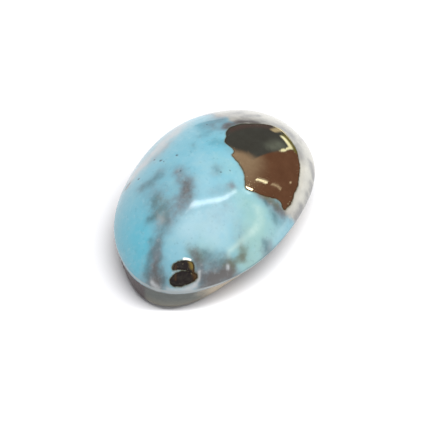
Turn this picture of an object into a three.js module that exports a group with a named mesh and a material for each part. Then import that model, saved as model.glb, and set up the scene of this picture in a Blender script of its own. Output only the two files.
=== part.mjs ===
// A polished freeform cabochon of natural turquoise, cut from rock that carries
// pyrite and pale host rock. It is one stone: a low oval dome over a narrow rounded
// girdle, a back wall that leans in unevenly, and a flat ground base to rest on.
// Units are millimetres, +Z is up and the long axis is X. The pyrite end is +X.
// The origin is the middle of the base, under the middle of the stone's box.

import * as THREE from "three";
import { mergeVertices } from "three/addons/utils/BufferGeometryUtils.js";

// Driving dimensions: the girdle's oval before its wavers, the dome over it, and the
// flat base's smaller oval, which sits off the middle under the leaning wall
const GIRDLE_LENGTH = 25.16;
const GIRDLE_WIDTH = 17.9;
const GIRDLE_HEIGHT = 3.3;
const DOME_HEIGHT = 5.1;
const BASE_LENGTH = 24.1;
const BASE_WIDTH = 14.0;
const BASE_SHIFT = new THREE.Vector2(-0.69, 0.28);

// How far the rounding of each edge reaches from the corner it replaces
const GIRDLE_ROUND = 0.32;
const BASE_ROUND = 0.75;

// The dome is part of an arc. It leaves the girdle at one angle of that arc, so the
// two meet in a line, and its top has its own grid above another
const DOME_START = THREE.MathUtils.degToRad(18);
const DOME_SHOULDER = THREE.MathUtils.degToRad(50);
const APEX_SHIFT = new THREE.Vector2(0.3, 0.1);

// The hand-cut outlines waver off true ovals: waves around, cosine and sine in mm
const GIRDLE_WAVES = [
  [3, -0.16, -0.11],
  [4, -0.04, -0.02],
  [6, 0.04, 0.055],
];
const BASE_WAVES = [
  [3, -0.03, -0.12],
  [4, -0.05, 0.24],
];

// Slow swells and hollows that hand polishing leaves in the dome: the middle of each
// in plan, its radius and its rise
const DOME_SWELLS = [
  [5.5, 1.0, 5.0, 0.13],
  [-5.0, -2.5, 4.5, 0.1],
  [0.5, 4.8, 3.6, -0.1],
  [-8.0, 3.0, 3.2, -0.07],
  [2.0, -5.4, 3.2, -0.08],
];

// How finely the surface is divided
const SQUARES_ACROSS = 26;
const BASE_RINGS = 4;
const WALL_RINGS = 4;
const GIRDLE_RINGS = 4;
const DOME_RINGS = 10;
const SIDE_RINGS = BASE_RINGS + WALL_RINGS + GIRDLE_RINGS + DOME_RINGS;

// A point of an oval that wavers in and out
function ovalAt(angle, length, width, waves) {
  const a = length / 2;
  const b = width / 2;
  const outward = new THREE.Vector2(Math.cos(angle) / a, Math.sin(angle) / b);
  let waver = 0;
  for (const [around, cosine, sine] of waves) {
    waver += cosine * Math.cos(around * angle) + sine * Math.sin(around * angle);
  }
  const oval = new THREE.Vector2(a * Math.cos(angle), b * Math.sin(angle));
  return oval.addScaledVector(outward.normalize(), waver);
}

// The girdle's outline in plan
function girdleAt(angle) {
  return ovalAt(angle, GIRDLE_LENGTH, GIRDLE_WIDTH, GIRDLE_WAVES);
}

// Where the wall would meet the base if the corner between them weren't rounded
function baseCornerAt(angle) {
  const outline = ovalAt(angle, BASE_LENGTH, BASE_WIDTH, BASE_WAVES).add(BASE_SHIFT);
  return new THREE.Vector3(outline.x, outline.y, 0);
}

// Where the flat of the base ends and its rounded corner starts
function baseEdgeAt(angle) {
  const corner = baseCornerAt(angle);
  const middle = new THREE.Vector3(BASE_SHIFT.x, BASE_SHIFT.y, 0);
  return corner.add(middle.sub(corner).setLength(BASE_ROUND));
}

function swellAt(x, y) {
  let rise = 0;
  for (const [swellX, swellY, radius, height] of DOME_SWELLS) {
    const distance = Math.hypot(x - swellX, y - swellY);
    rise += height * Math.exp(-((distance / radius) ** 2));
  }
  return rise;
}

// A point of the dome, at an angle around the stone and an angle up the dome's arc
function domePoint(angle, arc) {
  const low = Math.sin(DOME_START);
  const lift = (Math.sin(arc) - low) / (1 - low);
  const spread = Math.cos(arc) / Math.cos(DOME_START);
  const plan = girdleAt(angle).multiplyScalar(spread).addScaledVector(APEX_SHIFT, lift);
  const height = GIRDLE_HEIGHT + lift * (DOME_HEIGHT + swellAt(plan.x, plan.y));
  return new THREE.Vector3(plan.x, plan.y, height);
}

// Quadratic blend that rounds the corner between two points
function roundedCorner(from, corner, to, share) {
  return new THREE.QuadraticBezierCurve3(from, corner, to).getPoint(share);
}

// The stone's side at an angle, ring by ring from the base's edge to the dome's shoulder
function sidePoint(angle, ring) {
  const baseCorner = baseCornerAt(angle);
  const girdle = girdleAt(angle);
  const girdleCorner = new THREE.Vector3(girdle.x, girdle.y, GIRDLE_HEIGHT);
  const lean = girdleCorner.clone().sub(baseCorner).normalize();
  const wallStart = baseCorner.clone().addScaledVector(lean, BASE_ROUND);
  const wallEnd = girdleCorner.clone().addScaledVector(lean, -GIRDLE_ROUND);
  if (ring <= BASE_RINGS) {
    return roundedCorner(baseEdgeAt(angle), baseCorner, wallStart, ring / BASE_RINGS);
  }
  const wallRing = ring - BASE_RINGS;
  if (wallRing <= WALL_RINGS) {
    return wallStart.lerp(wallEnd, wallRing / WALL_RINGS);
  }
  const roundEnd = DOME_START + GIRDLE_ROUND / DOME_HEIGHT;
  const girdleRing = wallRing - WALL_RINGS;
  if (girdleRing <= GIRDLE_RINGS) {
    const domeFoot = domePoint(angle, roundEnd);
    return roundedCorner(wallEnd, girdleCorner, domeFoot, girdleRing / GIRDLE_RINGS);
  }
  const climb = (girdleRing - GIRDLE_RINGS) / DOME_RINGS;
  return domePoint(angle, THREE.MathUtils.lerp(roundEnd, DOME_SHOULDER, climb));
}

function topPoint(angle, reach) {
  const spread = reach * Math.cos(DOME_SHOULDER);
  return domePoint(angle, Math.acos(spread));
}

function basePoint(angle, reach) {
  const middle = new THREE.Vector3(BASE_SHIFT.x, BASE_SHIFT.y, 0);
  return middle.lerp(baseEdgeAt(angle), reach);
}

// A square grid laid out as a disc: how far out a point is, from 0 to 1, and its angle
function squareToDisc(x, y) {
  const reach = Math.max(Math.abs(x), Math.abs(y));
  let angle = 0;
  if (Math.abs(x) < Math.abs(y)) {
    angle = Math.PI / 2 - (Math.PI / 4) * (x / y) + (y < 0 ? Math.PI : 0);
  } else if (reach > 0) {
    angle = (Math.PI / 4) * (y / x) + (x < 0 ? Math.PI : 0);
  }
  return { reach, angle };
}

// A divided box, each of whose points is moved to its place on the stone: the box's
// four sides become the rings, and its top and bottom the crown and the base
function stoneGeometry() {
  const box = new THREE.BoxGeometry(
    2, 2, 2, SQUARES_ACROSS, SQUARES_ACROSS, SIDE_RINGS,
  );
  box.deleteAttribute("normal");
  box.deleteAttribute("uv");
  const geometry = mergeVertices(box, 1e-4);
  const place = geometry.getAttribute("position");
  for (let i = 0; i < place.count; i++) {
    const { reach, angle } = squareToDisc(place.getX(i), place.getY(i));
    const z = place.getZ(i);
    const onSide = reach > 1 - 1e-4;
    let point;
    if (onSide) {
      point = sidePoint(angle, Math.round(((z + 1) / 2) * SIDE_RINGS));
    } else if (z > 0) {
      point = topPoint(angle, reach);
    } else {
      point = basePoint(angle, reach);
    }
    place.setXYZ(i, point.x, point.y, point.z);
  }
  geometry.computeBoundingBox();
  const middle = geometry.boundingBox.getCenter(new THREE.Vector3());
  geometry.translate(-middle.x, -middle.y, 0);
  geometry.computeVertexNormals();
  return geometry;
}

const turquoise = new THREE.MeshStandardMaterial({
  color: 0x8cc6cf,
  roughness: 0.12,
  metalness: 0,
});

const cabochon = new THREE.Group();
const stone = new THREE.Mesh(stoneGeometry(), turquoise);
stone.name = "turquoise_stone";
cabochon.add(stone);

export default cabochon;
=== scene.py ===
"""A polished turquoise cabochon with pyrite, dressed on its solid and set in a pale studio.

Lengths are metres, as the solid's are, except in the markings of the stone. Those are
drawn in plan, in millimetres, on the solid's own axes: X runs along the stone towards
its pyrite end, and Y across it.
"""

import math
import random
from functools import reduce

import bmesh
import bpy
import numpy as np
from bpy.props import FloatProperty, FloatVectorProperty, PointerProperty
from mathutils import Matrix, Vector, noise


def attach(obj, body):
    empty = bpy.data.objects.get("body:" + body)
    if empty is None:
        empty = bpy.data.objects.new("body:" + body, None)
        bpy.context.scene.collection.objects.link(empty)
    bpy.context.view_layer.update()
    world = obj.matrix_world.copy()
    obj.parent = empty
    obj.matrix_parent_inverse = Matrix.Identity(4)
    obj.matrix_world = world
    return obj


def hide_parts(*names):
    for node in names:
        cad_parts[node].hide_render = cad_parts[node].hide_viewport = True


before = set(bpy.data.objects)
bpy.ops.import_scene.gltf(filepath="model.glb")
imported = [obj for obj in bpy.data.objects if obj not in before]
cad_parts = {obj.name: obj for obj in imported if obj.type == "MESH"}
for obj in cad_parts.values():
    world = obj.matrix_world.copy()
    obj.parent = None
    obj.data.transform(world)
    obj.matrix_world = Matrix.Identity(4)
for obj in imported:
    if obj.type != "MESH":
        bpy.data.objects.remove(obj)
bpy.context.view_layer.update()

bl_info = {
    "name": "Turquoise Cabochon",
    "version": (1, 0, 0),
    "blender": (4, 5, 0),
    "location": "View3D > Sidebar > Cabochon",
    "description": "Finishes a polished turquoise cabochon and sets it in a pale studio",
    "category": "Object",
}

STONE_NODE = "turquoise_stone"
MM = 0.001

# Pyrite, ground flush with the dome
LARGE_PYRITE = [
    (4.3, 1.1), (5.1, 1.15), (5.7, 0.95), (6.4, 0.6), (7.3, -0.3), (8.4, -1.3), (9.05, -2.3),
    (9.0, -2.9), (8.6, -3.8), (7.8, -5.1), (6.9, -5.9), (6.1, -6.5), (5.0, -7.0), (4.1, -7.4),
    (3.0, -7.6), (2.3, -7.8), (1.5, -7.85), (0.8, -7.75), (0.75, -7.5), (1.0, -7.2),
    (0.9, -6.8), (0.5, -6.35), (0.2, -6.0), (-0.15, -5.45), (-0.35, -5.0), (-0.6, -4.55),
    (-0.65, -4.1), (-0.1, -3.7), (0.6, -3.2), (1.0, -2.6), (1.3, -2.0), (1.5, -1.4),
    (1.7, -1.1), (2.2, -1.1), (2.5, -0.6), (2.7, 0.2), (3.0, 0.5), (3.6, 0.7),
]
UPPER_LOBE = [
    (-10.3, -2.25), (-9.95, -2.55), (-9.57, -2.97), (-9.37, -3.4), (-9.3, -3.8), (-9.6, -4.1),
    (-9.9, -4.2), (-10.1, -3.7), (-10.3, -3.2), (-10.6, -2.7), (-10.8, -2.4), (-10.6, -2.2),
]
LOWER_LOBE = [
    (-10.8, -2.75), (-10.4, -3.1), (-10.1, -3.55), (-9.85, -4.1), (-9.7, -4.5), (-10.0, -4.6),
    (-10.4, -4.4), (-10.8, -4.1), (-11.3, -3.6), (-11.6, -3.0), (-11.6, -2.6), (-11.3, -2.5),
]

# Pale host rock, which caps the pyrite end and runs down over its edge
HOST_ROCK = [
    (6.2, 1.2), (6.3, 1.9), (7.0, 2.7), (6.6, 3.7), (7.5, 4.6), (7.2, 5.6), (8.3, 6.3),
    (8.2, 7.6), (13.5, 7.5), (14.5, 0.0),
    (13.5, -9.5), (4.0, -11.0), (1.9, -10.2), (1.5, -9.0), (1.15, -8.55), (0.8, -8.15),
    (0.6, -7.8), (2.0, -7.0), (5.0, -4.5), (7.0, -2.0), (6.6, 0.2),
]

# Each marking is the points along it, its half-width at its two ends and its strength.
# These are the grey matrix
SMOKE = [
    ([(-2.5, 2.2), (-3.2, 1.1), (-4.0, 0.4), (-4.9, 0.1), (-5.6, -0.1)], 0.6, 0.85, 0.75),
    ([(-5.4, 0.1), (-6.3, 0.5), (-7.1, 0.1), (-7.8, 0.2), (-8.6, 0.2)], 0.7, 0.6, 0.55),
    ([(-5.6, 2.6), (-6.6, 1.7), (-7.4, 1.1)], 1.0, 0.9, 0.5),
    ([(-3.0, 4.0), (-4.4, 4.2), (-5.1, 4.8)], 0.6, 0.6, 0.35),
    ([(-9.4, 0.05), (-10.1, -0.1), (-10.7, -0.4), (-11.3, -0.75), (-12.3, -1.3)],
     0.35, 0.95, 0.95),
    ([(-1.6, 6.2), (-0.3, 6.1), (0.8, 6.0)], 0.45, 0.45, 0.5),
    ([(4.8, 2.9), (6.6, 3.1), (8.6, 2.2)], 1.0, 0.8, 0.6),
    ([(6.8, 3.4), (7.3, 5.0), (8.2, 6.4)], 0.6, 0.4, 0.6),
    ([(4.9, 1.45), (5.6, 1.45), (6.6, 1.1), (7.3, 0.4), (7.8, -0.3)], 0.5, 0.5, 1.0),
    ([(7.8, 1.2), (8.6, 0.8), (9.4, 0.3)], 0.4, 0.3, 0.9),
    ([(8.6, -0.6), (9.5, -2.0), (9.5, -3.3), (8.7, -4.7), (7.4, -5.9)], 0.6, 0.5, 0.8),
    ([(8.2, -6.7), (7.0, -7.8)], 0.3, 0.3, 0.9),
    ([(6.0, -8.0), (5.4, -8.3)], 0.35, 0.35, 0.9),
    ([(4.6, -8.4), (3.9, -8.7)], 0.3, 0.35, 0.9),
    ([(3.0, -8.5), (1.7, -8.9)], 0.3, 0.4, 0.95),
    ([(9.6, -4.6), (10.4, -4.4)], 0.25, 0.3, 0.5),
    ([(0.0, -5.6), (0.05, -6.3), (0.2, -7.0), (0.35, -7.6)], 0.45, 0.55, 1.0),
    ([(0.9, -8.35), (1.7, -8.8)], 0.25, 0.3, 0.5),
    ([(-1.35, -2.95), (-1.4, -3.0)], 0.33, 0.33, 0.85),
    ([(-8.6, -3.4), (-8.9, -4.0), (-9.1, -4.7)], 0.35, 0.5, 0.65),
    ([(-8.2, -5.0), (-7.9, -5.7), (-7.3, -6.2)], 0.55, 0.5, 0.55),
    ([(-9.7, -5.1), (-9.1, -5.6), (-8.4, -6.2), (-7.7, -6.75)], 0.75, 0.55, 1.0),
    ([(-7.7, -6.8), (-7.0, -7.3)], 0.4, 0.2, 0.7),
    ([(-2.9, -8.4), (-3.7, -8.5)], 0.45, 0.45, 0.6),
    ([(-2.0, -3.0), (-3.2, -1.9)], 0.5, 0.5, 0.25),
    ([(-0.4, -0.8), (-1.2, -1.0)], 0.4, 0.4, 0.3),
    ([(-3.3, -3.9), (-5.0, -3.2)], 1.0, 1.0, 0.2),
    ([(-4.3, -5.8), (-5.0, -6.1)], 0.7, 0.7, 0.2),
    ([(-8.9, -3.5), (-9.2, -4.4), (-9.7, -4.9)], 0.25, 0.3, 0.7),
]

# Reddish brown hearts of the matrix
RUST = [
    ([(-3.5, 0.8), (-4.1, 0.2), (-4.7, 0.0)], 0.45, 0.5, 0.6),
    ([(-11.2, -0.7), (-11.7, -1.05), (-12.4, -1.5)], 0.3, 0.8, 0.9),
    ([(5.0, 1.35), (5.6, 1.3), (6.5, 0.85), (7.1, 0.25), (7.6, -0.45)], 0.35, 0.4, 1.0),
    ([(0.3, -7.3), (0.5, -7.7)], 0.3, 0.3, 0.4),
    ([(-8.6, -3.4), (-8.85, -3.9)], 0.28, 0.3, 0.5),
    ([(-9.6, -5.3), (-9.0, -5.8), (-8.3, -6.3), (-7.7, -6.8)], 0.7, 0.5, 1.0),
    ([(-4.2, 7.1), (-4.7, 7.2)], 0.2, 0.25, 0.9),
]

# Dark blue-green patches
TEAL = [
    ([(-6.0, 2.7), (-6.8, 2.3)], 0.36, 0.32, 0.7),
    ([(-7.0, 1.5), (-7.9, 1.95)], 0.36, 0.38, 0.85),
    ([(-6.5, 1.4), (-6.9, 0.9)], 0.38, 0.36, 0.55),
    ([(-7.2, 0.7), (-7.6, 0.4)], 0.3, 0.3, 0.5),
    ([(-3.6, 4.0), (-4.4, 4.3), (-5.1, 4.8)], 0.42, 0.38, 0.5),
    ([(-8.3, 0.3), (-9.3, 0.1), (-10.0, -0.05)], 0.42, 0.34, 0.5),
    ([(-10.5, 0.1), (-11.4, 0.0), (-12.2, -0.4)], 0.2, 0.24, 0.6),
    ([(-10.6, -0.8), (-11.2, -1.4), (-11.7, -1.9)], 0.2, 0.22, 0.5),
    ([(-9.6, 0.75), (-9.7, 0.7)], 0.24, 0.24, 0.6),
    ([(-0.3, -6.2), (-0.35, -6.4)], 0.24, 0.22, 1.0),
    ([(0.2, -6.9), (0.25, -7.15)], 0.2, 0.2, 0.7),
    ([(-0.6, -7.4), (-0.7, -7.8)], 0.36, 0.3, 0.75),
    ([(-8.1, -4.4), (-8.0, -5.1)], 0.36, 0.36, 0.65),
    ([(-7.4, -5.2), (-7.5, -5.7)], 0.36, 0.36, 0.5),
    ([(-3.2, -8.0), (-3.5, -8.2)], 0.3, 0.3, 0.75),
    ([(2.4, 3.0), (3.4, 2.6)], 0.35, 0.35, 0.3),
    ([(1.2, 3.0), (0.9, 2.7)], 0.28, 0.28, 0.3),
    ([(-0.5, -0.7), (-0.8, -1.2)], 0.28, 0.28, 0.4),
    ([(2.3, 1.2), (2.6, 0.2), (2.2, -0.6)], 0.5, 0.4, 0.35),
]

# Greenish brown patches, most of them beside pyrite and matrix
OLIVE = [
    ([(-6.0, 2.2), (-7.0, 1.2)], 0.6, 0.6, 0.35),
    ([(1.6, -2.0), (0.5, -3.6), (-0.1, -4.4), (0.1, -5.2)], 0.25, 0.3, 0.45),
    ([(0.1, -5.7), (0.3, -6.3), (0.5, -7.0)], 0.35, 0.4, 0.85),
    ([(-8.6, -3.2), (-8.6, -4.0)], 0.45, 0.45, 0.6),
    ([(-7.6, -6.0), (-7.3, -6.1)], 0.3, 0.3, 0.6),
    ([(-7.0, -6.6), (-7.25, -6.9)], 0.2, 0.22, 0.8),
    ([(-5.35, -6.9), (-5.75, -7.05)], 0.34, 0.34, 0.8),
    ([(-5.9, -6.95), (-6.5, -6.75), (-7.0, -6.5)], 0.3, 0.24, 0.9),
]

# Pale grey patches and thin lines
CHALK = [
    ([(-3.6, 7.4), (-1.7, 7.0), (0.2, 6.6), (2.0, 6.5), (4.0, 6.4)], 0.7, 0.8, 0.9),
    ([(-7.2, 1.15), (-7.7, 0.85)], 0.36, 0.36, 0.22),
    ([(-9.46, -4.55), (-9.84, -4.7), (-10.3, -4.7), (-10.8, -4.45)], 0.1, 0.2, 0.9),
    ([(-11.0, -4.3), (-11.5, -3.7), (-12.1, -2.7)], 0.28, 0.22, 0.85),
    ([(-12.3, -1.0), (-12.4, -1.9)], 0.14, 0.14, 0.7),
    ([(-10.95, -2.5), (-10.5, -2.85), (-10.3, -3.05)], 0.08, 0.05, 0.8),
    ([(-7.38, -6.36), (-7.48, -6.42)], 0.11, 0.11, 0.95),
]

# A healed crack
VEIN = [
    ([(-1.4, -6.0), (-1.9, -6.6), (-2.5, -6.8), (-3.2, -6.8), (-4.2, -6.65), (-4.9, -6.4),
      (-5.9, -6.1), (-6.45, -5.9), (-6.85, -6.1)], 0.36, 0.15, 0.5),
]

# Soft changes of tint: the middle of each, its reach along and across, its strength
PALE_AREAS = [
    (-7.6, -2.0, 1.8, 1.8, 0.8),
    (-5.3, -3.4, 2.2, 2.2, 0.7),
    (-2.6, -0.6, 1.6, 1.4, 0.4),
    (-6.6, -4.4, 1.2, 1.2, 0.5),
    (-1.2, -8.0, 1.2, 0.9, 0.7),
    (-0.6, 0.8, 1.2, 1.2, 0.4),
]
GREEN_AREAS = [
    (-2.8, -6.9, 2.8, 1.6, 0.9),
    (-5.6, -7.4, 2.0, 1.2, 0.8),
    (-1.6, -4.6, 2.0, 1.5, 0.6),
    (0.2, -1.6, 1.4, 1.8, 0.35),
    (-8.0, -4.4, 1.4, 1.4, 0.4),
]
DEEP_AREAS = [
    (-9.6, 3.6, 2.8, 2.8, 0.7),
    (-11.4, 0.7, 1.6, 1.2, 1.0),
    (-9.6, 1.8, 1.4, 1.4, 0.6),
    (2.2, 0.9, 1.0, 1.2, 0.5),
]

# Painted highlight: a white rim that stands in for the light caught by the small pyrite's
# raised edge, as a soft area
PAINTED_HIGHLIGHT_RIM = [
    (-9.33, -3.12, 0.5, 0.42, 1.0),
]

# Small dark pits: the middle of each and its radius
PITS = [
    (-0.65, 3.75, 0.16), (-1.6, 5.05, 0.18), (-1.5, 5.9, 0.13), (-4.0, 6.1, 0.16),
    (-4.3, 7.1, 0.16), (-4.6, 7.2, 0.15), (-2.4, 2.15, 0.12), (-1.7, 4.6, 0.1),
    (-0.7, -1.4, 0.12), (0.0, -2.0, 0.1), (4.6, 3.6, 0.1),
]

# Finer pits scattered over the stone: how many, how much of its oval's area they fill,
# their smallest and largest radius, and where their random draws start
STRAY_PITS = 70
STRAY_PIT_AREA = 0.95
STRAY_PIT_RADIUS = (0.04, 0.09)
STRAY_PIT_SEED = 7

# Stains of the ground wall, listed as the soft areas are
RUSTY_WALL = [
    (-12.0, 2.8, 2.2, 2.2, 1.0),
    (-12.3, 1.2, 1.6, 1.7, 1.0),
    (9.0, 4.0, 4.0, 3.0, 0.8),
]
TAN_WALL = [
    (-7.9, -6.2, 3.4, 2.2, 1.0),
    (5.0, -7.5, 5.0, 2.5, 0.7),
    (2.0, 7.0, 5.0, 2.5, 0.8),
]

# Where a thin dark line follows the girdle just above it, as a soft area
EDGE_LINE = [
    (-2.8, -8.4, 5.0, 1.5, 1.0),
]

# How fast a marking fades past its half-width
MARKING_FADE = 0.7

# Where each part of the stone starts to show and where it is whole, in millimetres: how
# deep in the pyrite or the host rock, and how far below the girdle
PYRITE_SHOWS = (-0.05, 0.07)
HOST_SHOWS = (-0.35, 0.25)
BACK_SHOWS = (0.32, 0.5)
STAINED_RIM = (-0.16, 0.0)
DARK_METAL_RIM = (0.0, 0.16)
METAL_NEAR_RIM = (0.0, 0.7)
# Painted light: the ground wall pales towards the floor between these depths below the
# girdle, for light bounced up from the floor
PAINTED_BOUNCE_FOOT = (1.2, 3.4)

# Bands, from one side to the other with the softness of their sides, in millimetres:
# deep in the pyrite, and below the girdle
# The painted highlight round the small pyrite's edge, deep in the pyrite
PAINTED_HIGHLIGHT_BAND = (-0.16, 0.0, 0.04)
# A painted reflection of the floor along the girdle's rounding, below the girdle
PAINTED_REFLECTION_BAND = (-0.04, 0.32, 0.08)
EDGE_LINE_BAND = (-0.3, -0.17, 0.06)

# Where the relief starts and where it is whole, in millimetres: above the girdle, below
# it, above the floor, and deep in the pyrite
DOME_RELIEF = (0.1, 0.6)
WALL_RELIEF = (0.15, 0.6)
FOOT_RELIEF = (0.1, 0.7)
PYRITE_RELIEF = (-0.1, 0.15)

# How many times finer than the noise behind them the scratches are, on each axis, so
# that they run along the stone
SCRATCH_STRETCH = (1.0, 7.0, 7.0)
TURQUOISE_IOR = 1.61

# Stands in for a length or a rise of nothing, so that no division fails
TINY = 1e-9


def linear(red, green, blue):
    """A colour read off a screen, from 0 to 255, as the light it stands for, by the
    formula of the sRGB standard."""
    shares = [channel / 255 for channel in (red, green, blue)]
    return tuple(
        share / 12.92 if share <= 0.04045 else ((share + 0.055) / 1.055) ** 2.4
        for share in shares
    )


class Wire:
    """One output in a node tree. Arithmetic on wires adds the nodes that do it."""

    def __init__(self, bench, socket):
        self.bench = bench
        self.socket = socket

    def math(self, operation, *values):
        sockets = dict(enumerate((self,) + values))
        return self.bench.node("ShaderNodeMath", {"operation": operation}, sockets)

    def __add__(self, other):
        return self.math("ADD", other)

    def __sub__(self, other):
        return self.math("SUBTRACT", other)

    def __mul__(self, other):
        return self.math("MULTIPLY", other)

    def __truediv__(self, other):
        return self.math("DIVIDE", other)

    def __pow__(self, other):
        return self.math("POWER", other)

    def __neg__(self):
        return self.math("MULTIPLY", -1.0)

    def __rsub__(self, other):
        return -self + other

    __radd__ = __add__

    def over(self, other):
        """The larger of the two."""
        return self.math("MAXIMUM", other)

    def clipped(self):
        return self.over(0.0).math("MINIMUM", 1.0)

    def step(self, low, high):
        """0 at low and 1 at high, with a smooth change between them."""
        sockets = {"Value": self, "From Min": low, "From Max": high}
        settings = {"interpolation_type": "SMOOTHSTEP"}
        return self.bench.node("ShaderNodeMapRange", settings, sockets)

    def between(self, low, high, soft):
        """1 from low to high and 0 outside, with soft ends."""
        return self.step(low - soft, low + soft) * (1.0 - self.step(high - soft, high + soft))


class Bench:
    """A node tree to work on."""

    def __init__(self, tree):
        self.tree = tree
        tree.nodes.clear()

    def node(self, kind, settings=None, sockets=None, output=0):
        """Adds a node, sets it up, feeds its sockets and returns one of its outputs."""
        added = self.tree.nodes.new(kind)
        for name, setting in (settings or {}).items():
            setattr(added, name, setting)
        for name, value in (sockets or {}).items():
            self.feed(added.inputs[name], value)
        return Wire(self, added.outputs[output]) if added.outputs else added

    def feed(self, socket, value):
        if isinstance(value, Wire):
            self.tree.links.new(value.socket, socket)
        elif socket.type == "RGBA" and len(value) == 3:
            socket.default_value = (*value, 1.0)
        else:
            socket.default_value = value

    def mix(self, share, under, over):
        """One colour laid over another by a share from 0 to 1."""
        settings = {"data_type": "RGBA"}
        return self.node("ShaderNodeMix", settings, {0: share, 6: under, 7: over}, 2)

    def lay(self, shade, layers):
        """Layers laid over a colour: where each is, the most it covers and its colour."""
        for cover, most, tint in layers:
            shade = self.mix(cover * most, shade, tint)
        return shade

    def vector(self, operation, first, second, output=0):
        settings = {"operation": operation}
        return self.node("ShaderNodeVectorMath", settings, {0: first, 1: second}, output)

    def noise(self, place, scale, detail=3.0, roughness=0.5, shift=0.0):
        """Soft noise around 0, with its features about 1 / scale across."""
        moved = self.vector("ADD", place, (shift, shift * 0.7, shift * 1.3))
        sockets = {"Vector": moved, "Scale": scale, "Detail": detail, "Roughness": roughness}
        return self.node("ShaderNodeTexNoise", None, sockets) - 0.5

    def attribute(self, name):
        return self.node("ShaderNodeAttribute", {"attribute_name": name}, None, "Fac")


def smooth_share(values, low, high):
    """0 at low and 1 at high, with a smooth change between them, for arrays."""
    share = np.clip((values - low) / (high - low), 0.0, 1.0)
    return share * share * (3.0 - 2.0 * share)


def rounded_outline(points, steps=4):
    """The closed curve through the points, as short straight pieces."""
    corners = np.array(points)
    before, after = np.roll(corners, 1, 0), np.roll(corners, -1, 0)
    beyond = np.roll(corners, -2, 0)
    pieces = []
    for share in np.arange(steps) / steps:
        pieces.append(
            0.5 * (2 * corners + (after - before) * share
                   + (2 * before - 5 * corners + 4 * after - beyond) * share ** 2
                   + (3 * corners - before - 3 * after + beyond) * share ** 3)
        )
    return np.stack(pieces, 1).reshape(-1, 2)


def nearest_on_piece(places, start, end):
    """How far each place is from a straight piece, and where along it from 0 to 1."""
    along = end - start
    share = np.clip((places - start) @ along / max(along @ along, TINY), 0.0, 1.0)
    gap = places - start - share[:, None] * along
    return np.hypot(gap[:, 0], gap[:, 1]), share


def depth_inside(places, points):
    """Distance to an outline, positive inside it."""
    outline = rounded_outline(points)
    nearest = np.full(len(places), np.inf)
    inside = np.zeros(len(places), bool)
    for start, end in zip(outline, np.roll(outline, -1, 0)):
        distance, _ = nearest_on_piece(places, start, end)
        nearest = np.minimum(nearest, distance)
        spans = (start[1] > places[:, 1]) != (end[1] > places[:, 1])
        rise = end[1] - start[1] or TINY
        crossing = start[0] + (places[:, 1] - start[1]) * (end[0] - start[0]) / rise
        inside ^= spans & (places[:, 0] < crossing)
    return np.where(inside, nearest, -nearest)


def marking_field(places, markings):
    """How strongly the markings cover each place: a soft 0 to 1, highest along them."""
    clear = np.ones(len(places))
    for path, first_width, last_width, strength in markings:
        points = np.array(path)
        lengths = np.hypot(*np.diff(points, axis=0).T)
        walked = np.concatenate([[0.0], np.cumsum(lengths)]) / lengths.sum()
        cover = np.zeros(len(places))
        for i in range(len(points) - 1):
            distance, share = nearest_on_piece(places, points[i], points[i + 1])
            way = walked[i] + share * (walked[i + 1] - walked[i])
            width = first_width + (last_width - first_width) * way
            cover = np.maximum(cover, np.exp(-((distance / width) ** 2) * MARKING_FADE))
        clear *= 1.0 - strength * cover
    return 1.0 - clear


def area_field(places, areas):
    """Soft round patches, added together."""
    field = np.zeros(len(places))
    for middle_x, middle_y, reach_x, reach_y, strength in areas:
        away_x = (places[:, 0] - middle_x) / reach_x
        away_y = (places[:, 1] - middle_y) / reach_y
        field += strength * np.exp(-(away_x ** 2 + away_y ** 2))
    return np.minimum(field, 1.0)


def pit_field(places, pits):
    """Bowls 1 deep at their middles, each with its own radius."""
    field = np.zeros(len(places))
    for middle_x, middle_y, radius in pits:
        distance = np.hypot(places[:, 0] - middle_x, places[:, 1] - middle_y)
        field = np.maximum(field, np.exp(-((distance / radius) ** 2)))
    return field


def stray_pits(reach_x, reach_y):
    """Pits scattered over the whole stone, the same ones on each run."""
    draw = random.Random(STRAY_PIT_SEED)
    pits = []
    while len(pits) < STRAY_PITS:
        x, y = draw.uniform(-1, 1), draw.uniform(-1, 1)
        if x * x + y * y < STRAY_PIT_AREA:
            pits.append((x * reach_x, y * reach_y, draw.uniform(*STRAY_PIT_RADIUS)))
    return pits


def mesh_points(mesh):
    points = np.empty(len(mesh.vertices) * 3)
    mesh.vertices.foreach_get("co", points)
    return points.reshape(-1, 3)


def mesh_normals(mesh):
    normals = np.empty(len(mesh.vertices) * 3)
    mesh.vertex_normals.foreach_get("vector", normals)
    return normals.reshape(-1, 3)


def add_field(mesh, name, values):
    layer = mesh.attributes.new(name, "FLOAT", "POINT")
    layer.data.foreach_set("value", values.astype(np.float32))


def replace_material(mesh, material):
    mesh.materials.clear()
    mesh.materials.append(material)


def darker(colour, share):
    return tuple(share * channel for channel in colour)


def colour_property(name, description, shade):
    return FloatVectorProperty(
        name=name, description=description, subtype="COLOR", size=3,
        min=0.0, max=1.0, default=shade,
    )


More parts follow.
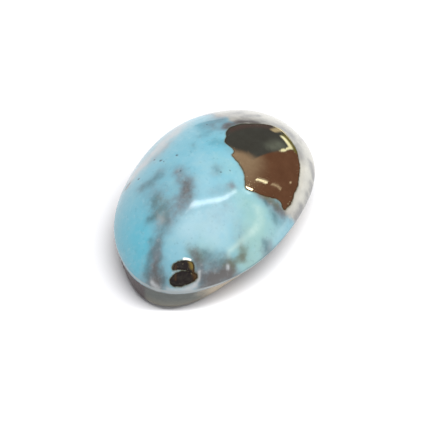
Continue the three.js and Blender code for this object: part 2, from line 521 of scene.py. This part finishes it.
class StoneColours(bpy.types.PropertyGroup):
    """The colours in the stone."""

    deep_blue: colour_property(
        "Deep blue", "Deepest blue of the turquoise", linear(90, 161, 178))
    body_blue: colour_property(
        "Body blue", "Main colour of the turquoise", linear(109, 159, 173))
    pale_blue: colour_property(
        "Pale blue", "Bleached areas of the turquoise", linear(139, 171, 180))
    green_blue: colour_property(
        "Green blue", "Greenish areas of the turquoise", linear(130, 164, 158))
    smoke: colour_property(
        "Smoke", "Grey matrix in the turquoise", linear(99, 105, 110))
    rust: colour_property(
        "Rust", "Reddish brown heart of the matrix", linear(78, 73, 70))
    teal: colour_property(
        "Teal", "Dark blue-green patches", linear(66, 98, 104))
    olive: colour_property(
        "Olive", "Olive patches", linear(84, 86, 68))
    chalk: colour_property(
        "Chalk", "Pale grey patches", linear(166, 170, 171))
    # A painted highlight, not a mineral: white for the light caught by the small pyrite's
    # raised edge
    painted_highlight: colour_property(
        "Painted highlight", "White rims", linear(236, 236, 228))
    vein: colour_property(
        "Vein", "Healed cracks", linear(176, 198, 190))
    host_cream: colour_property(
        "Host cream", "Pale host rock", linear(178, 176, 165))
    host_shade: colour_property(
        "Host shade", "Darker grains of the host rock", linear(156, 155, 148))
    host_smoke: colour_property(
        "Host smoke", "Grey stains of the host rock", linear(112, 112, 111))
    pyrite_brass: colour_property(
        "Pyrite brass", "Clean pyrite", linear(230, 216, 170))
    pyrite_bronze: colour_property(
        "Pyrite bronze", "Tarnished pyrite", linear(196, 178, 138))
    # A painted reflection, not wear: the pale floor mirrored in the girdle's polished
    # rounding
    painted_edge_reflection: colour_property(
        "Painted edge reflection", "Pale edge of the girdle", linear(158, 166, 165))
    back_olive: colour_property(
        "Back olive", "Ground back of the stone", linear(80, 86, 80))
    back_rust: colour_property(
        "Back rust", "Rusty parts of the ground back", linear(62, 46, 46))
    # Also the colour of the painted floor light at the foot of the ground wall
    back_tan: colour_property(
        "Back tan", "Sandy parts of the ground back", linear(176, 162, 138))


class StoneRelief(bpy.types.PropertyGroup):
    """How far the stone's surface stands off its solid."""

    pyrite_proud: FloatProperty(
        name="Pyrite proud", description="How far the harder pyrite stands out of the polish",
        unit="LENGTH", default=0.009 * MM, min=0.0)
    pit_depth: FloatProperty(
        name="Pit depth", description="Depth of the deepest dark pits",
        unit="LENGTH", default=0.04 * MM, min=0.0)
    polish_waver: FloatProperty(
        name="Polish waver", description="Slow unevenness of the hand polish",
        unit="LENGTH", default=0.01 * MM, min=0.0)
    back_waver: FloatProperty(
        name="Back waver", description="Unevenness of the ground wall",
        unit="LENGTH", default=0.03 * MM, min=0.0)


class StoneFinish(bpy.types.PropertyGroup):
    """How smooth each surface is."""

    polish: FloatProperty(
        name="Polish", description="Roughness of the polished turquoise",
        subtype="FACTOR", default=0.09, min=0.0, max=1.0)
    metal_polish: FloatProperty(
        name="Pyrite polish", description="Roughness of the polished pyrite",
        subtype="FACTOR", default=0.045, min=0.0, max=1.0)
    ground: FloatProperty(
        name="Ground back", description="Roughness of the ground back",
        subtype="FACTOR", default=0.5, min=0.0, max=1.0)


class StudioSettings(bpy.types.PropertyGroup):
    """The camera, the floor and the light."""

    camera_height: FloatProperty(
        name="Camera height", description="Angle of the camera above the floor",
        subtype="ANGLE", default=math.radians(50.0))
    camera_turn: FloatProperty(
        name="Camera turn", description="How far the camera has gone round to the left",
        subtype="ANGLE", default=math.radians(57.57))
    camera_distance: FloatProperty(
        name="Camera distance", description="Distance from the stone's girdle",
        unit="LENGTH", default=102.36 * MM)
    lens: FloatProperty(
        name="Lens", description="Focal length in millimetres", default=85.0)
    tube_height: FloatProperty(
        name="Tube height", description="Height of the light tube over the floor",
        unit="LENGTH", default=600 * MM)
    tube_power: FloatProperty(
        name="Tube power", description="Power of the light tube, in watts", default=7.5)
    room_light: FloatProperty(
        name="Room light", description="Brightness of the pale room", default=0.52)


class CabochonSettings(bpy.types.PropertyGroup):
    """Everything that the panel shows."""

    colours: PointerProperty(type=StoneColours)
    relief: PointerProperty(type=StoneRelief)
    finish: PointerProperty(type=StoneFinish)
    studio: PointerProperty(type=StudioSettings)


def girdle_height():
    """The height at which the solid is longest."""
    points = mesh_points(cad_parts[STONE_NODE].data)
    return float(points[points[:, 0].argmax(), 2])


# How near two points are before they are one, how far two triangles may bend from each
# other and from a true square to be joined, and how often each square is then divided
WELD_DISTANCE = 0.001 * MM
SQUARE_BEND = math.radians(60)
SQUARE_SKEW = math.radians(80)
DIVISIONS = 2


def refined_copy(node):
    """The solid's surface as squares, divided so that it is smooth."""
    work = bmesh.new()
    work.from_mesh(node.data)
    bmesh.ops.remove_doubles(work, verts=work.verts, dist=WELD_DISTANCE)
    bmesh.ops.join_triangles(
        work, faces=work.faces,
        angle_face_threshold=SQUARE_BEND, angle_shape_threshold=SQUARE_SKEW,
    )
    coarse = bpy.data.meshes.new("coarse_stone")
    work.to_mesh(coarse)
    work.free()
    carrier = bpy.data.objects.new("polished_stone", coarse)
    bpy.context.scene.collection.objects.link(carrier)
    divide = carrier.modifiers.new("Divide", "SUBSURF")
    divide.levels = divide.render_levels = DIVISIONS
    graph = bpy.context.evaluated_depsgraph_get()
    smooth = bpy.data.meshes.new_from_object(carrier.evaluated_get(graph))
    carrier.modifiers.clear()
    carrier.data = smooth
    bpy.data.meshes.remove(coarse)
    smooth.shade_smooth()
    return carrier


def waver_field(points, scale, seed):
    """Slow noise at each point, about -1 to 1."""
    shift = Vector((seed, -seed, seed * 0.5))
    return np.array([noise.noise(Vector(point) * scale + shift) for point in points])


def ruffled(plan, points, scale, reach):
    """The plan places pushed about by noise, so that what is drawn on them wanders."""
    push = np.stack([waver_field(points, scale, seed) for seed in (3.0, 9.0)], 1)
    return plan + reach * push


def mark_stone(mesh, girdle):
    """Stores on the mesh how deep in each mineral every point lies."""
    points = mesh_points(mesh) / MM
    plan = points[:, :2]
    crisp = ruffled(plan, points, scale=3.5, reach=0.05)
    loose = ruffled(plan, points, scale=1.3, reach=0.2)
    pyrite = np.maximum.reduce(
        [depth_inside(crisp, outline) for outline in (LARGE_PYRITE, UPPER_LOBE, LOWER_LOBE)])
    reach_x, reach_y = np.abs(plan).max(0)
    fields = {
        "pyrite": pyrite,
        "host_rock": depth_inside(crisp, HOST_ROCK),
        "smoke": marking_field(loose, SMOKE),
        "rust": marking_field(loose, RUST),
        "teal": marking_field(loose, TEAL),
        "olive": marking_field(loose, OLIVE),
        "chalk": marking_field(crisp, CHALK),
        # Where the painted highlight round the small pyrite lies
        "painted_highlight": area_field(plan, PAINTED_HIGHLIGHT_RIM),
        "vein": marking_field(crisp, VEIN),
        "pale_area": area_field(loose, PALE_AREAS),
        "green_area": area_field(loose, GREEN_AREAS),
        "deep_area": area_field(loose, DEEP_AREAS),
        "rusty_wall": area_field(plan, RUSTY_WALL),
        "tan_wall": area_field(plan, TAN_WALL),
        "edge_line": area_field(plan, EDGE_LINE),
        "pit": pit_field(plan, PITS),
        "stray_pit": pit_field(plan, stray_pits(reach_x, reach_y)),
        "below_girdle": girdle / MM - points[:, 2],
    }
    for name, values in fields.items():
        add_field(mesh, name, values)
    return fields


def carve_stone(mesh, fields, relief):
    """Raises the pyrite, sinks the pits and leaves the polish a little uneven."""
    points = mesh_points(mesh)
    normals = mesh_normals(mesh)
    on_dome = smooth_share(-fields["below_girdle"], *DOME_RELIEF)
    on_wall = smooth_share(fields["below_girdle"], *WALL_RELIEF)
    on_wall *= smooth_share(points[:, 2] / MM, *FOOT_RELIEF)
    raised = smooth_share(fields["pyrite"], *PYRITE_RELIEF)
    grain = waver_field(points, scale=0.42 / MM, seed=5.0)
    chips = waver_field(points, scale=1.6 / MM, seed=2.0)
    chips += 0.5 * waver_field(points, scale=4.0 / MM, seed=8.0)
    pits = fields["pit"] + 0.5 * fields["stray_pit"]
    height = relief.polish_waver * grain * on_dome
    height += relief.pyrite_proud * raised * on_dome
    height -= relief.pit_depth * np.minimum(pits, 1.0) * on_dome * (1 - raised)
    height += relief.back_waver * chips * on_wall
    moved = points + normals * height[:, None]
    mesh.vertices.foreach_set("co", moved.ravel())
    mesh.update()


class StoneParts:
    """How much each part of the stone shows at a place, from 0 to 1."""

    def __init__(self, bench, place):
        pyrite = bench.attribute("pyrite")
        below_girdle = bench.attribute("below_girdle")
        ragged = bench.noise(place, scale=4.0, detail=4.0, roughness=0.6, shift=3.0)
        # Breaks up the painted reflection along the girdle
        reflection_breakup = bench.noise(place, scale=0.6, detail=3.0, roughness=0.5, shift=29.0)
        holes = bench.noise(place, scale=3.3, detail=5.0, roughness=0.8, shift=53.0)
        self.fine = bench.noise(place, scale=11.0, detail=3.0, roughness=0.6, shift=13.0)

        self.back = (below_girdle + ragged * 0.2).step(*BACK_SHOWS)
        self.top = 1.0 - self.back
        self.host = (bench.attribute("host_rock") + ragged * 0.5).step(*HOST_SHOWS)
        self.pyrite = (pyrite + ragged * 0.12).step(*PYRITE_SHOWS) * self.top
        self.holes = holes.step(0.11, 0.21)
        self.near_rim = 1.0 - pyrite.step(*METAL_NEAR_RIM)
        self.metal_rim = 1.0 - pyrite.step(*DARK_METAL_RIM)
        self.stained_rim = pyrite.step(*STAINED_RIM)
        # A painted highlight round the rim of the small pyrite, where its raised edge would
        # catch the light
        self.painted_highlight = pyrite.between(*PAINTED_HIGHLIGHT_BAND)
        self.painted_highlight = self.painted_highlight * bench.attribute("painted_highlight").step(0.3, 0.6)
        self.edge_line = below_girdle.between(*EDGE_LINE_BAND) * bench.attribute("edge_line")
        # A painted reflection of the floor in the girdle's polished rounding
        self.painted_edge_reflection = (below_girdle + ragged * 0.12).between(*PAINTED_REFLECTION_BAND)
        self.painted_edge_reflection = self.painted_edge_reflection * (0.75 + reflection_breakup * 1.4).clipped()


def turquoise_colour(bench, place, colours):
    """The blue ground of the stone, from deep blue through pale and greenish areas."""
    cloud = bench.noise(place, scale=0.45, detail=3.0, roughness=0.55)
    mottle = bench.noise(place, scale=1.3, detail=4.0, roughness=0.6, shift=11.0)
    light_fleck = bench.noise(place, scale=1.9, detail=4.0, roughness=0.65, shift=31.0)
    dark_fleck = bench.noise(place, scale=2.1, detail=5.0, roughness=0.7, shift=47.0)
    deep = bench.attribute("deep_area") + cloud * 0.4 + mottle * 0.4
    pale = bench.attribute("pale_area") + cloud * 0.6 + mottle * 0.9
    green = bench.attribute("green_area") - cloud * 0.4 + mottle * 0.6
    return bench.lay(colours.body_blue, (
        (deep.clipped(), 1.0, colours.deep_blue),
        (pale.clipped(), 0.9, colours.pale_blue),
        (green.clipped(), 0.85, colours.green_blue),
        (light_fleck.step(0.04, 0.24), 0.4, colours.pale_blue),
        (dark_fleck.step(0.05, 0.26), 0.36, colours.teal),
    ))


def matrix_colour(bench, place, shade, colours):
    """The markings laid over the blue ground, and the pits in it."""
    cloud = bench.noise(place, scale=0.9, detail=4.0, roughness=0.6, shift=5.0)
    fine = bench.noise(place, scale=2.6, detail=4.0, roughness=0.6, shift=17.0)
    grains = bench.noise(place, scale=1.7, detail=4.0, roughness=0.6, shift=23.0)
    pit = bench.attribute("pit") + bench.attribute("stray_pit") * 0.5

    def ragged(name):
        """A marking with its faint parts broken up the most."""
        field = bench.attribute(name)
        cover = field * (1.0 + cloud * 1.2) + field * (1.0 - field) * (cloud + fine) * 1.6
        return cover.clipped()

    return bench.lay(shade, (
        (ragged("vein"), 0.75, colours.vein),
        (ragged("smoke"), 0.95, colours.smoke),
        (ragged("teal"), 0.85, colours.teal),
        (ragged("olive"), 0.85, colours.olive),
        (ragged("rust"), 0.85, colours.rust),
        (ragged("chalk"), 0.95, colours.chalk),
        (grains.step(0.0, 0.25) * bench.attribute("smoke"), 0.22, colours.chalk),
        (pit.step(0.2, 0.9), 0.8, darker(colours.smoke, 0.3)),
    ))


def host_colour(bench, place, colours):
    """Pale host rock with darker grains and smoky edges."""
    cloud = bench.noise(place, scale=0.9, detail=5.0, roughness=0.6, shift=61.0)
    grain = bench.noise(place, scale=5.0, detail=4.0, roughness=0.65, shift=71.0)
    grainy = 0.4 + cloud * 1.4 + grain * 0.7
    broken = 1.0 + cloud * 1.5 + grain * 0.5
    return bench.lay(colours.host_cream, (
        (grainy.clipped(), 1.0, colours.host_shade),
        ((bench.attribute("smoke") * broken).clipped(), 0.9, colours.host_smoke),
        ((bench.attribute("rust") * broken).clipped(), 0.95, colours.rust),
    ))


def back_colour(bench, place, shade, colours):
    """The ground back: olive, sandy and rusty stains, the stone bare in places, and painted
    light from the floor that makes it paler towards its foot.
    """
    cloud = bench.noise(place, scale=0.4, detail=5.0, roughness=0.6, shift=83.0)
    fine = bench.noise(place, scale=3.5, detail=5.0, roughness=0.65, shift=91.0)
    bare = bench.noise(place, scale=0.35, detail=4.0, roughness=0.6, shift=101.0)
    tan = bench.attribute("tan_wall") + cloud * 0.9 + fine * 0.3
    rusty = (bench.attribute("rusty_wall") + cloud * 0.8 + fine * 0.4).step(0.3, 0.85)
    painted_bounce = bench.attribute("below_girdle").step(*PAINTED_BOUNCE_FOOT)
    return bench.lay(colours.back_olive, (
        (tan.step(0.25, 0.85), 1.0, colours.back_tan),
        (rusty, 1.0, colours.back_rust),
        ((fine * 1.2 + 0.05).clipped(), 1.0, darker(colours.back_olive, 0.6)),
        # Painted light: paler towards the foot, for light bounced up from the floor
        (painted_bounce * (1.0 - rusty), 0.4, colours.back_tan),
        ((bare * 3.0 - 0.2).clipped() * (1.0 - rusty), 0.5, shade),
    ))


def pyrite_colour(bench, place, parts, colours):
    """Brassy metal with some tarnish, dark holes near its rim and a dark rim."""
    cloud = bench.noise(place, scale=0.8, detail=4.0, roughness=0.6, shift=41.0)
    tarnish = 0.3 + cloud * 1.4 + parts.fine * 0.5
    return bench.lay(colours.pyrite_brass, (
        (tarnish.clipped(), 1.0, colours.pyrite_bronze),
        (parts.holes * (0.1 + parts.near_rim * 0.7), 1.0, colours.olive),
        (parts.metal_rim, 0.75, darker(colours.olive, 0.5)),
    ))


def stone_colour(bench, place, parts, colours):
    """All the minerals, with a painted highlight and a painted reflection among them, laid
    over one another from the turquoise to the pyrite.
    """
    shade = turquoise_colour(bench, place, colours)
    shade = matrix_colour(bench, place, shade, colours)
    shade = bench.lay(shade, (
        (parts.host, 1.0, host_colour(bench, place, colours)),
        (parts.stained_rim, 0.5, colours.olive),
        # A painted highlight round the small pyrite
        (parts.painted_highlight, 1.0, colours.painted_highlight),
        (parts.edge_line, 0.8, colours.teal),
        # A painted reflection of the floor along the girdle
        (parts.painted_edge_reflection, 1.0, colours.painted_edge_reflection),
    ))
    return bench.lay(shade, (
        (parts.back, 1.0, back_colour(bench, place, shade, colours)),
        (parts.pyrite, 1.0, pyrite_colour(bench, place, parts, colours)),
    ))


def stone_roughness(bench, parts, finish):
    """A glossy dome, glossier metal with dull holes in it, and a dull ground back."""
    polished = finish.polish + parts.host * 0.05 + parts.fine * 0.03
    polished = polished + bench.attribute("smoke") * 0.03
    metal = finish.metal_polish + parts.holes * parts.near_rim * 0.25 + parts.fine * 0.02
    dome = polished * (1.0 - parts.pyrite) + metal * parts.pyrite
    ground = finish.ground + parts.fine * 0.2
    return (dome * parts.top + ground * parts.back).clipped()


def stone_bump(bench, place, parts):
    """Polishing scratches, holes in the pyrite and the ground back's roughness, with
    their heights in millimetres."""
    stretched = bench.vector("MULTIPLY", place, SCRATCH_STRETCH)
    scratches = bench.noise(stretched, scale=2.2, detail=3.0, roughness=0.6, shift=67.0)
    chips = bench.noise(place, scale=4.0, detail=5.0, roughness=0.7, shift=77.0)
    height = parts.fine * 0.0004 + scratches * 0.0003
    height = height - parts.holes * parts.pyrite * parts.near_rim * 0.006
    height = height + parts.back * (parts.fine * 0.012 + chips * 0.03)
    return bench.node(
        "ShaderNodeBump", None, {"Height": height, "Distance": MM, "Strength": 1.0})


def stone_material(colours, finish):
    """Turquoise, matrix, host rock and pyrite in one polished surface."""
    material = bpy.data.materials.new("polished_turquoise")
    material.use_nodes = True
    bench = Bench(material.node_tree)
    object_place = bench.node("ShaderNodeTexCoord", None, None, "Object")
    place = bench.vector("MULTIPLY", object_place, (1 / MM,) * 3)
    parts = StoneParts(bench, place)
    surface = bench.node("ShaderNodeBsdfPrincipled", None, {
        "Base Color": stone_colour(bench, place, parts, colours),
        "Metallic": parts.pyrite,
        "Roughness": stone_roughness(bench, parts, finish),
        "IOR": TURQUOISE_IOR,
        "Normal": stone_bump(bench, place, parts),
    })
    bench.node("ShaderNodeOutputMaterial", None, {"Surface": surface})
    return material


class CABOCHON_OT_polished_stone(bpy.types.Operator):
    """Makes the polished stone from its solid and gives it its minerals"""

    bl_idname = "cabochon.polished_stone"
    bl_label = "Polished Stone"

    def execute(self, context):
        settings = context.scene.cabochon
        stone = refined_copy(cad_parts[STONE_NODE])
        fields = mark_stone(stone.data, girdle_height())
        carve_stone(stone.data, fields, settings.relief)
        replace_material(stone.data, stone_material(settings.colours, settings.finish))
        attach(stone, "root")
        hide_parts(STONE_NODE)
        return {"FINISHED"}


def camera_axes(studio):
    """The photograph's right, up and forward directions, and level away from its camera."""
    turn = Matrix.Rotation(-studio.camera_turn, 3, "Z")
    tilt = studio.camera_height
    right = turn @ Vector((1.0, 0.0, 0.0))
    up = turn @ Vector((0.0, math.sin(tilt), math.cos(tilt)))
    forward = turn @ Vector((0.0, math.cos(tilt), -math.sin(tilt)))
    away = turn @ Vector((0.0, 1.0, 0.0))
    return right, up, forward, away


# Where the photograph's middle lies off the middle of the girdle, as slopes of the view
AIM_RIGHT = 0.00233
AIM_UP = -0.01875

# Millimetres, as Blender counts them
SENSOR_WIDTH = 36.0


def add_camera(studio, girdle):
    right, up, forward, _ = camera_axes(studio)
    lens = bpy.data.cameras.new("photo_camera")
    lens.lens = studio.lens
    lens.sensor_width = SENSOR_WIDTH
    lens.clip_start = 1 * MM
    camera = bpy.data.objects.new("photo_camera", lens)
    camera.location = Vector((0.0, 0.0, girdle)) - forward * studio.camera_distance
    aim = forward + right * AIM_RIGHT + up * AIM_UP
    camera.rotation_euler = aim.to_track_quat("-Z", "Y").to_euler()
    bpy.context.scene.collection.objects.link(camera)
    bpy.context.scene.camera = camera


# Wide enough for the shadow, and lit evenly, so that its edge melts into the white
FLOOR_RADIUS = 200 * MM
FLOOR_SIDES = 96
PAPER_COLOUR = (0.68, 0.68, 0.69)


def add_floor():
    work = bmesh.new()
    bmesh.ops.create_circle(work, cap_ends=True, segments=FLOOR_SIDES, radius=FLOOR_RADIUS)
    mesh = bpy.data.meshes.new("pale_floor")
    work.to_mesh(mesh)
    work.free()
    floor = bpy.data.objects.new("pale_floor", mesh)
    bpy.context.scene.collection.objects.link(floor)
    material = bpy.data.materials.new("pale_paper")
    material.use_nodes = True
    bench = Bench(material.node_tree)
    surface = bench.node("ShaderNodeBsdfPrincipled", None, {
        "Base Color": PAPER_COLOUR, "Roughness": 0.9, "Specular IOR Level": 0.1,
    })
    bench.node("ShaderNodeOutputMaterial", None, {"Surface": surface})
    replace_material(mesh, material)


# The light tube overhead: how far right of the stone its ends are and half its width,
# for each unit up
TUBE_LEFT = -0.22
TUBE_RIGHT = 1.25
TUBE_HALF_WIDTH = 0.05

UPWARD = Vector((0.0, 0.0, 1.0))


def add_light_tube(studio):
    """The long soft light that casts the shadow. The polish mirrors its drawn twin."""
    right, _, _, away = camera_axes(studio)
    lamp = bpy.data.lights.new("light_tube", "AREA")
    lamp.shape = "RECTANGLE"
    lamp.size = (TUBE_RIGHT - TUBE_LEFT) * studio.tube_height
    lamp.size_y = 2 * TUBE_HALF_WIDTH * studio.tube_height
    lamp.energy = studio.tube_power
    holder = bpy.data.objects.new("light_tube", lamp)
    middle = right * (TUBE_LEFT + TUBE_RIGHT) / 2 + UPWARD
    holder.matrix_world = Matrix((right, away, UPWARD)).transposed().to_4x4()
    holder.location = middle * studio.tube_height
    holder.visible_glossy = False
    bpy.context.scene.collection.objects.link(holder)


# Colours that the polish mirrors, as light, where 1 is the white of the backdrop
HORIZON = (1.0, 1.0, 1.02)
CEILING = (0.27, 0.29, 0.31)
WOOD = (0.18, 0.095, 0.085)
PALE_WOOD = (0.38, 0.3, 0.3)
FURNITURE = (0.075, 0.085, 0.12)
CLUTTER = (0.036, 0.034, 0.06)
LIT_CLUTTER = (0.08, 0.085, 0.12)
VEIL = (2.0, 2.0, 2.05)
TUBE = (9.0, 9.2, 9.6)
SHEEN = (1.25, 1.35, 1.3)

# The horizon's glow fades between these heights, in degrees
HORIZON_ENDS = (3.0, 30.0)

# Windows in the mirrored room: from which bearing to which, from which height to which,
# and how soft their sides and their ends are, all in degrees
WOOD_WINDOW = ((10.0, 97.0), (-8.0, 54.0), 2.5, 2.5)
FURNITURE_WINDOW = ((-14.0, 43.0), (-8.0, 45.0), 1.6, 3.0)

# The wood turns pale upward between these heights and brown again between these bearings
PALE_WOOD_HEIGHTS = (36.0, 48.0)
PALE_WOOD_BEARINGS = (40.0, 78.0)

# Dark clutter behind the camera starts between these bearings on both sides, and its
# heights are the lowest, the highest and how soft they are
CLUTTER_STARTS = (150.0, 160.0)
CLUTTER_HEIGHTS = (-8.0, 57.0, 2.0)

# Round-ended bars, the lowest layer first: the bearing and height of both ends, half the
# width and the softness of the sides, in degrees, the most it covers and its colour
CEILING_BARS = [
    ((128.0, 58.0), (100.0, 66.0), 24.0, 14.0, 0.7, (1.3, 1.36, 1.45)),
]
FURNITURE_BARS = [
    ((37.0, 25.0), (37.0, 19.0), 5.0, 5.0, 0.8, (0.19, 0.235, 0.3)),
    ((4.0, 22.0), (20.0, 6.0), 3.0, 4.0, 0.6, (0.15, 0.1, 0.14)),
    ((0.0, 4.0), (17.0, 0.0), 3.0, 2.5, 0.8, (0.13, 0.07, 0.07)),
    ((32.0, 2.0), (43.0, 4.0), 3.5, 2.0, 1.0, (0.2, 0.2, 0.09)),
    ((24.5, 7.0), (24.5, -3.0), 1.6, 1.2, 1.0, (0.6, 0.55, 0.5)),
    ((31.5, 7.0), (40.5, 8.5), 2.0, 1.2, 1.0, SHEEN),
    ((41.0, 9.0), (43.6, 22.0), 1.1, 0.9, 1.0, SHEEN),
    ((60.5, 45.5), (68.0, 38.0), 0.4, 0.35, 1.0, (2.2, 2.3, 2.4)),
    ((70.5, 34.5), (76.0, 25.0), 0.3, 0.35, 0.7, (1.0, 0.9, 0.9)),
    ((73.0, 18.0), (73.0, 16.5), 0.4, 0.5, 1.0, (0.9, 0.8, 0.8)),
]
CLUTTER_BARS = [
    ((171.0, 49.0), (167.0, 40.0), 3.4, 2.6, 0.9, (0.33, 0.27, 0.13)),
    ((164.5, 33.0), (161.0, 18.0), 3.0, 2.5, 0.7, (0.16, 0.1, 0.07)),
    ((-164.0, 46.0), (-171.0, 27.0), 1.3, 1.3, 0.7, (0.13, 0.08, 0.07)),
]

# Bars overhead, with their ends and widths as slopes: how far right and how far away for
# each unit up. The tube's pieces follow the bends of the streak on the dome
VEIL_BARS = [
    ((-0.1, 0.0), (0.5, 0.0), 0.22, 0.2, 0.5),
]
TUBE_BARS = [
    ((-0.26, 0.11), (-0.19, 0.18), 0.012, 0.016, 0.6),
    ((-0.17, 0.19), (0.02, 0.172), 0.042, 0.03, 1.0),
    ((0.02, 0.172), (0.26, 0.16), 0.036, 0.03, 1.0),
    ((0.26, 0.16), (0.39, 0.195), 0.034, 0.028, 1.0),
    ((0.39, 0.195), (0.5, 0.262), 0.028, 0.024, 1.0),
    ((0.67, 0.335), (0.7, 0.33), 0.02, 0.015, 1.0),
    ((0.75, 0.316), (0.82, 0.305), 0.03, 0.018, 1.0),
]

# The least share of a look that counts as upward when slopes are worked out, and the
# shares between which the tube fades in above the horizon
LEAST_UPWARD = 0.05
TUBE_FADES_IN = (0.0, 0.1)


class RoomView:
    """What the polish mirrors. A direction has a bearing, in degrees clockwise from
    straight behind the stone, and a height in degrees above the floor."""

    def __init__(self, bench, studio):
        right, _, _, away = camera_axes(studio)
        look = bench.node("ShaderNodeTexCoord", None, None, "Generated")
        sideways = bench.vector("DOT_PRODUCT", look, tuple(right), "Value")
        beyond = bench.vector("DOT_PRODUCT", look, tuple(away), "Value")
        degrees = 180 / math.pi
        self.bench = bench
        self.ragged = bench.noise(look, scale=9.0, detail=3.0, roughness=0.6)
        self.upward = bench.vector("DOT_PRODUCT", look, tuple(UPWARD), "Value")
        self.bearing = sideways.math("ARCTAN2", beyond) * degrees
        self.height = self.upward.math("ARCSINE") * degrees
        level = self.upward.over(LEAST_UPWARD)
        self.slope_right = sideways / level
        self.slope_away = beyond / level

    def window(self, bearings, heights, soft_sides, soft_ends):
        return (self.bearing.between(*bearings, soft_sides)
                * self.height.between(*heights, soft_ends))

    def bar(self, start, end, half_width, soft, across, up):
        """A round-ended bar between two places on the given axes."""
        u, v = across - start[0], up - start[1]
        run = (end[0] - start[0], end[1] - start[1])
        length = run[0] ** 2 + run[1] ** 2
        way = ((u * run[0] + v * run[1]) * (1 / length)).clipped()
        off_u, off_v = u - way * run[0], v - way * run[1]
        distance = (off_u * off_u + off_v * off_v) ** 0.5
        return 1.0 - distance.step(half_width - soft, half_width + soft)

    def lay_bars(self, shade, bars):
        """Bars round the stone, laid over a colour."""
        return self.bench.lay(shade, [
            (self.bar(start, end, half_width, soft, self.bearing, self.height), most, tint)
            for start, end, half_width, soft, most, tint in bars
        ])

    def overhead_bars(self, bars):
        """How much of the ceiling the bars cover."""
        return reduce(Wire.over, [
            self.bar(start, end, half_width, soft, self.slope_right, self.slope_away) * most
            for start, end, half_width, soft, most in bars
        ])


def mirrored_room(bench, studio):
    """A dim ceiling with a light tube, a pale horizon, dark furniture behind the stone,
    brown wood beside it, and dark clutter behind the camera."""
    room = RoomView(bench, studio)
    shade = bench.mix(room.height.step(*HORIZON_ENDS), HORIZON, CEILING)
    shade = room.lay_bars(shade, CEILING_BARS)

    wood = room.window(*WOOD_WINDOW)
    pale_wood = room.height.step(*PALE_WOOD_HEIGHTS)
    pale_wood = pale_wood * (1.0 - room.bearing.step(*PALE_WOOD_BEARINGS)) * wood
    shade = bench.lay(shade, (
        (wood, 1.0, WOOD),
        (pale_wood, 1.0, PALE_WOOD),
        (room.window(*FURNITURE_WINDOW), 1.0, FURNITURE),
    ))
    shade = room.lay_bars(shade, FURNITURE_BARS)

    behind_camera = room.bearing.math("ABSOLUTE").step(*CLUTTER_STARTS)
    behind_camera = behind_camera * room.height.between(*CLUTTER_HEIGHTS)
    clutter = bench.mix((room.ragged * 3.0 + 0.2).clipped(), CLUTTER, LIT_CLUTTER)
    shade = bench.mix(behind_camera, shade, clutter)
    shade = room.lay_bars(shade, CLUTTER_BARS)

    tube = room.overhead_bars(TUBE_BARS) * room.upward.step(*TUBE_FADES_IN)
    tube = (tube * (0.9 + room.ragged * 1.6)).clipped()
    return bench.lay(shade, (
        (room.overhead_bars(VEIL_BARS), 1.0, VEIL),
        (tube, 1.0, TUBE),
    ))


# The room's light is a little bluer than white
ROOM_BLUE = 1.04


def light_room(studio):
    """A plain pale room for the light and the backdrop, and its contents for mirrors."""
    world = bpy.data.worlds.new("pale_room")
    world.use_nodes = True
    bpy.context.scene.world = world
    bench = Bench(world.node_tree)
    mirrored = bench.node("ShaderNodeLightPath", None, None, "Is Glossy Ray")
    seen = bench.node("ShaderNodeLightPath", None, None, "Is Camera Ray")
    soft = studio.room_light
    plain = bench.mix(seen, (soft, soft, soft * ROOM_BLUE), (1.0, 1.0, 1.0))
    shade = bench.mix(mirrored, plain, mirrored_room(bench, studio))
    backdrop = bench.node("ShaderNodeBackground", None, {"Color": shade, "Strength": 1.0})
    bench.node("ShaderNodeOutputWorld", None, {"Surface": backdrop})


class CABOCHON_OT_studio(bpy.types.Operator):
    """Sets the camera, the pale floor and the soft light round the stone"""

    bl_idname = "cabochon.studio"
    bl_label = "Studio"

    def execute(self, context):
        studio = context.scene.cabochon.studio
        add_camera(studio, girdle_height())
        add_floor()
        add_light_tube(studio)
        light_room(studio)
        context.scene.view_settings.view_transform = "Standard"
        return {"FINISHED"}


class CABOCHON_PT_panel(bpy.types.Panel):
    """Lists the cabochon's settings and the steps that build it"""

    bl_idname = "CABOCHON_PT_panel"
    bl_label = "Cabochon"
    bl_space_type = "VIEW_3D"
    bl_region_type = "UI"
    bl_category = "Cabochon"

    def draw(self, context):
        settings = context.scene.cabochon
        for group in (settings.colours, settings.relief, settings.finish, settings.studio):
            box = self.layout.box()
            for name in group.__annotations__:
                box.prop(group, name)
        self.layout.operator(CABOCHON_OT_polished_stone.bl_idname)
        self.layout.operator(CABOCHON_OT_studio.bl_idname)


CLASSES = (
    StoneColours,
    StoneRelief,
    StoneFinish,
    StudioSettings,
    CabochonSettings,
    CABOCHON_OT_polished_stone,
    CABOCHON_OT_studio,
    CABOCHON_PT_panel,
)


def register():
    for each in CLASSES:
        bpy.utils.register_class(each)
    bpy.types.Scene.cabochon = PointerProperty(type=CabochonSettings)


def unregister():
    del bpy.types.Scene.cabochon
    for each in reversed(CLASSES):
        bpy.utils.unregister_class(each)


def main():
    register()
    bpy.ops.cabochon.studio()
    bpy.ops.cabochon.polished_stone()


if __name__ == "__main__":
    main()
